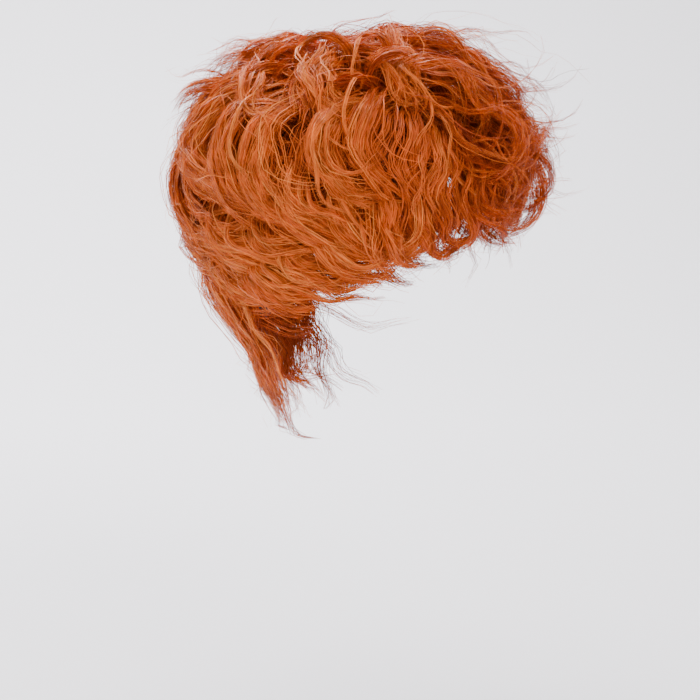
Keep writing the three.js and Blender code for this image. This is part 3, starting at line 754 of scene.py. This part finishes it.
# %% Build the hair
def strip_mesh(name, corners, tones, materials):
    """One mesh of quads from (strand, point, side, xyz) corners."""
    strands, points = corners.shape[:2]
    first = (np.arange(strands)[:, None] * points + np.arange(points - 1)[None, :]) * 2
    quads = np.stack([first, first + 1, first + 3, first + 2], axis=-1).reshape(-1, 4)
    mesh = bpy.data.meshes.new(name)
    mesh.vertices.add(strands * points * 2)
    mesh.vertices.foreach_set("co", (corners.reshape(-1) * MM).astype(np.float32))
    mesh.loops.add(quads.size)
    mesh.loops.foreach_set("vertex_index", quads.reshape(-1).astype(np.int32))
    mesh.polygons.add(len(quads))
    mesh.polygons.foreach_set("loop_start", np.arange(0, quads.size, 4, dtype=np.int32))
    for material in materials:
        mesh.materials.append(material)
    mesh.polygons.foreach_set("material_index", np.repeat(tones, points - 1).astype(np.int32))
    mesh.polygons.foreach_set("use_smooth", np.ones(len(quads), dtype=bool))
    mesh.update()
    mesh.validate()
    piece = bpy.data.objects.new(name, mesh)
    bpy.context.collection.objects.link(piece)
    return piece


# Strays may stand a little out of the CAD box, as flyaways do, but no farther than this
STRAY_ROOM = 8.0


def hair_piece(section, materials):
    """All the strands of one section as one piece, in place of its CAD solid."""
    found = sections[section]
    share = MOST_TRIANGLES[section] / (2 * SEGMENTS * sum(c["strands"] for c in found))
    corners, tones = [], []
    for clump in found:
        count = min(MOST_STRANDS, int(share * clump["strands"]))
        lines, flats, deep = bundle(clump, count)
        lines = np.clip(lines, cad_low * 1000 - STRAY_ROOM, cad_high * 1000 + STRAY_ROOM)
        corners.append(strips(lines, flats))
        # the tone is painted shade and highlight: a strand that lies 3 mm high in its lock has the
        # orange tone, a higher one is lighter and a lower one darker, so the raised middle of a lock
        # takes the painted highlight, and a deeper layer is darker still
        outer = np.clip(deep.mean(axis=1) / 3 - 1, -1.5, 1)
        tone = 3.0 - 1.8 * clump["depth"] + 0.7 * outer + numbers.normal(0, 0.6, count)
        tones.append(np.clip(np.rint(tone + chance.gauss(0, 0.4)), 0, len(materials) - 1))
    piece = strip_mesh(section + "_strands", np.concatenate(corners), np.concatenate(tones), materials)
    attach(piece, "root")
    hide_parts(section)
    print(piece.name, len(found), "clumps,", len(piece.data.polygons) * 2, "triangles")


for name in sorted(sections):
    hair_piece(name, fringe_fibre if name == "fringe_hair" else spun_fibre)

# %% [markdown]
# ## The cap
# Under the hair is a stretch net cap with a sewn elastic band. It shows only under the fringe
# and from below, but from there the light should find a net and not a smooth shell. The CAD
# solids already have the right shape, so they stay, and take a knitted and a woven material.

# %% Cap and band materials
def wave_on_object(tree, period_mm, direction, profile="SIN"):
    """A wave of the given period over the object's own coordinates, which are metres."""
    place = add_node(tree, "ShaderNodeTexCoord")
    scale = 2 * math.pi / (20 * period_mm * MM)
    return add_node(
        tree, "ShaderNodeTexWave", [(place.outputs["Object"], "Vector")],
        bands_direction=direction, wave_profile=profile, inputs={"Scale": scale},
    )


net, net_shader = surface("knitted_nylon_net", "#17110F", 0.85, IOR=1.53)
tree = net.node_tree
# A wig net has holes of about 2 mm; here they are drawn as 3 mm so that they show
threads = [wave_on_object(tree, 3, axis) for axis in ("X", "Y", "Z")]
crossed = add_node(
    tree, "ShaderNodeMath", [(threads[0].outputs["Fac"], 0), (threads[1].outputs["Fac"], 1)],
    operation="MAXIMUM",
)
crossed = add_node(
    tree, "ShaderNodeMath", [(crossed.outputs[0], 0), (threads[2].outputs["Fac"], 1)],
    operation="MAXIMUM",
)
ramp = add_node(tree, "ShaderNodeValToRGB", [(crossed.outputs[0], "Fac")])
ramp.color_ramp.elements[0].color = linear("#0B0807")
ramp.color_ramp.elements[1].color = linear("#2C211D")
tree.links.new(ramp.outputs["Color"], net_shader.inputs["Base Color"])
bump = add_node(
    tree, "ShaderNodeBump", [(crossed.outputs[0], "Height")],
    inputs={"Strength": 0.6, "Distance": 0.4 * MM},
)
tree.links.new(bump.outputs["Normal"], net_shader.inputs["Normal"])

elastic, elastic_shader = surface("woven_elastic", "#1B1412", 0.75, IOR=1.5)
tree = elastic.node_tree
# Rubber threads run along the band about 1.2 mm apart
ribs = wave_on_object(tree, 1.2, "Z")
bump = add_node(
    tree, "ShaderNodeBump", [(ribs.outputs["Fac"], "Height")],
    inputs={"Strength": 0.5, "Distance": 0.3 * MM},
)
tree.links.new(bump.outputs["Normal"], elastic_shader.inputs["Normal"])
for node, material in (("cap_net", net), ("edge_band", elastic)):
    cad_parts[node].data.materials.clear()
    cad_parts[node].data.materials.append(material)
print("Cap:", net.name, "and", elastic.name)

# %% [markdown]
# ## Ground hair
# Between the locks one never sees the cap, but short, dense hair that lies close to it and
# gets little light. A closed mat over the cap stands for it: darker than the locks as painted
# shade for the gaps between them, with fine streaks down it. It ends short of the cap's edge,
# so that it never shows below the hair.

# %% Mat under the locks
def mat_mesh(name, height, share, columns=72, rings=20):
    """A skin over the cap at a height, from the crown to a share of the way to the edge."""
    grid = [over_head(0, 0, height)]
    for ring in range(1, rings + 1):
        for column in range(columns):
            facing = 360 * column / columns
            angle = cap_edge(facing) * share * ring / rings
            lowered = height if ring < rings else CAP_WALL
            grid.append(over_head(facing, angle, lowered))
    faces = [(0, 1 + (c + 1) % columns, 1 + c) for c in range(columns)]
    for ring in range(rings - 1):
        upper, lower = 1 + ring * columns, 1 + (ring + 1) * columns
        for c in range(columns):
            d = (c + 1) % columns
            faces.append((upper + c, upper + d, lower + d, lower + c))
    mesh = bpy.data.meshes.new(name)
    mesh.from_pydata([p * MM for p in grid], [], faces)
    mesh.polygons.foreach_set("use_smooth", [True] * len(faces))
    piece = bpy.data.objects.new(name, mesh)
    bpy.context.collection.objects.link(piece)
    return piece


# The mat's dark colour is painted shade for the deep gaps between the locks
ground, ground_shader = surface("ground_hair_painted_shade", "#5A220C", 0.6, IOR=1.55)
tree = ground.node_tree
place = add_node(tree, "ShaderNodeTexCoord")
stretch = add_node(
    tree, "ShaderNodeMapping", [(place.outputs["Object"], "Vector")],
    inputs={"Scale": (1, 1, 0.15)},
)
# Streaks about 1 mm apart: the noise is stretched along the way that the hair falls
streaks = add_node(
    tree, "ShaderNodeTexNoise", [(stretch.outputs["Vector"], "Vector")],
    inputs={"Scale": 600.0, "Detail": 4.0, "Roughness": 0.6},
)
ramp = add_node(tree, "ShaderNodeValToRGB", [(streaks.outputs["Fac"], "Fac")])
ramp.color_ramp.elements[0].position = 0.35
ramp.color_ramp.elements[1].position = 0.7
ramp.color_ramp.elements[0].color = linear("#5A1F09")
ramp.color_ramp.elements[1].color = linear("#A3481B")
tree.links.new(ramp.outputs["Color"], ground_shader.inputs["Base Color"])
bump = add_node(
    tree, "ShaderNodeBump", [(streaks.outputs["Fac"], "Height")],
    inputs={"Strength": 0.7, "Distance": 0.5 * MM},
)
tree.links.new(bump.outputs["Normal"], ground_shader.inputs["Normal"])
mat = mat_mesh("ground_hair_mat", CAP_WALL + 4.5, 0.97)
mat.data.materials.append(ground)
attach(mat, "root")
print(mat.name, len(mat.data.polygons), "faces")

# %% [markdown]
# ## Floor, light and camera
# The wig is shown as in a catalogue: a seamless pale sheet curves up behind it, one broad soft
# light stands in front, weaker ones fill the shadows and light the top, and one lights the
# sheet, so that the fine strands stand out against it. The camera stands by the wearer's
# right, a little ahead and above, about 1.3 m away. The floor is half a metre below the crown.

# %% Stage, lights and camera
FLOOR_DEPTH = 495.0
# The sheet, in metres: how far it reaches in front, where it starts to rise behind, the
# radius of that curve, its height and half its width
SHEET_FRONT = -3.0
SHEET_BEND = 0.9
SHEET_RADIUS = 0.6
SHEET_HEIGHT = 3.2
SHEET_HALF = 3.5


def backdrop():
    """A sheet swept from the floor up behind the wig, across the camera's view."""
    profile = [(SHEET_FRONT, 0.0), (SHEET_BEND, 0.0)]
    for turn in np.radians(range(10, 91, 10)):
        rise = SHEET_RADIUS - math.cos(turn) * SHEET_RADIUS
        profile.append((SHEET_BEND + math.sin(turn) * SHEET_RADIUS, rise))
    profile.append((SHEET_BEND + SHEET_RADIUS, SHEET_HEIGHT))
    away = Vector((0.968, 0.25, 0))
    across = Vector((-0.25, 0.968, 0))
    floor = Vector((0, 0, -FLOOR_DEPTH * MM))
    points = [
        floor + away * d + Vector((0, 0, h)) + across * w
        for d, h in profile for w in (-SHEET_HALF, SHEET_HALF)
    ]
    faces = [(2 * i, 2 * i + 2, 2 * i + 3, 2 * i + 1) for i in range(len(profile) - 1)]
    mesh = bpy.data.meshes.new("paper_sweep")
    mesh.from_pydata(points, [], faces)
    mesh.polygons.foreach_set("use_smooth", [True] * len(faces))
    sheet = bpy.data.objects.new("paper_sweep", mesh)
    bpy.context.collection.objects.link(sheet)
    return sheet


paper, _ = surface("matt_grey_paper", "#F3F1F4", 0.9)
sweep = backdrop()
sweep.data.materials.append(paper)
sweep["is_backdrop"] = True


def softbox(name, place, size, power, swatch, aim=(0, 0, -0.1)):
    """A square area light. Places are in metres, and power is in watts."""
    light = bpy.data.lights.new(name, "AREA")
    light.size = size
    light.energy = power
    light.color = linear(swatch)[:3]
    lamp = bpy.data.objects.new(name, light)
    lamp.location = place
    lamp.rotation_euler = (Vector(aim) - Vector(place)).to_track_quat("-Z", "Y").to_euler()
    bpy.context.collection.objects.link(lamp)


softbox("key_softbox", (-1.3, -1.5, 1.7), 1.4, 45, "#FFFAF4")
softbox("fill_softbox", (-1.8, 1.4, 0.6), 1.8, 22, "#F4F8FF")
softbox("top_softbox", (0.2, 0.1, 1.9), 1.6, 30, "#FFFFFF")
softbox("backdrop_wash", (0.75, 1.0, 1.5), 1.1, 84, "#FBFBFF", aim=(1.6, 0.5, -0.2))
world = bpy.data.worlds.new("soft_room")
world.use_nodes = True
world.node_tree.nodes["Background"].inputs["Color"].default_value = linear("#E6E9EC")
world.node_tree.nodes["Background"].inputs["Strength"].default_value = 0.75
bpy.context.scene.world = world

# The camera's place, and its own right and up directions
PHOTO_CAMERA = Vector((-1.28181, -0.31732, 0.07309))
RIGHT = Vector((0.2419, -0.9703, 0.0)).normalized()
UP = Vector((0.2017, 0.0503, 0.9781)).normalized()
lens = bpy.data.cameras.new("photo_camera")
lens.sensor_width = 36
lens.lens = 91.35
camera = bpy.data.objects.new("photo_camera", lens)
BACK = RIGHT.cross(UP).normalized()
axes = Matrix((RIGHT, BACK.cross(RIGHT), BACK)).transposed()
camera.matrix_world = Matrix.Translation(PHOTO_CAMERA) @ axes.to_4x4()
bpy.context.collection.objects.link(camera)
bpy.context.scene.camera = camera
print("Camera at", [round(v, 3) for v in camera.location])
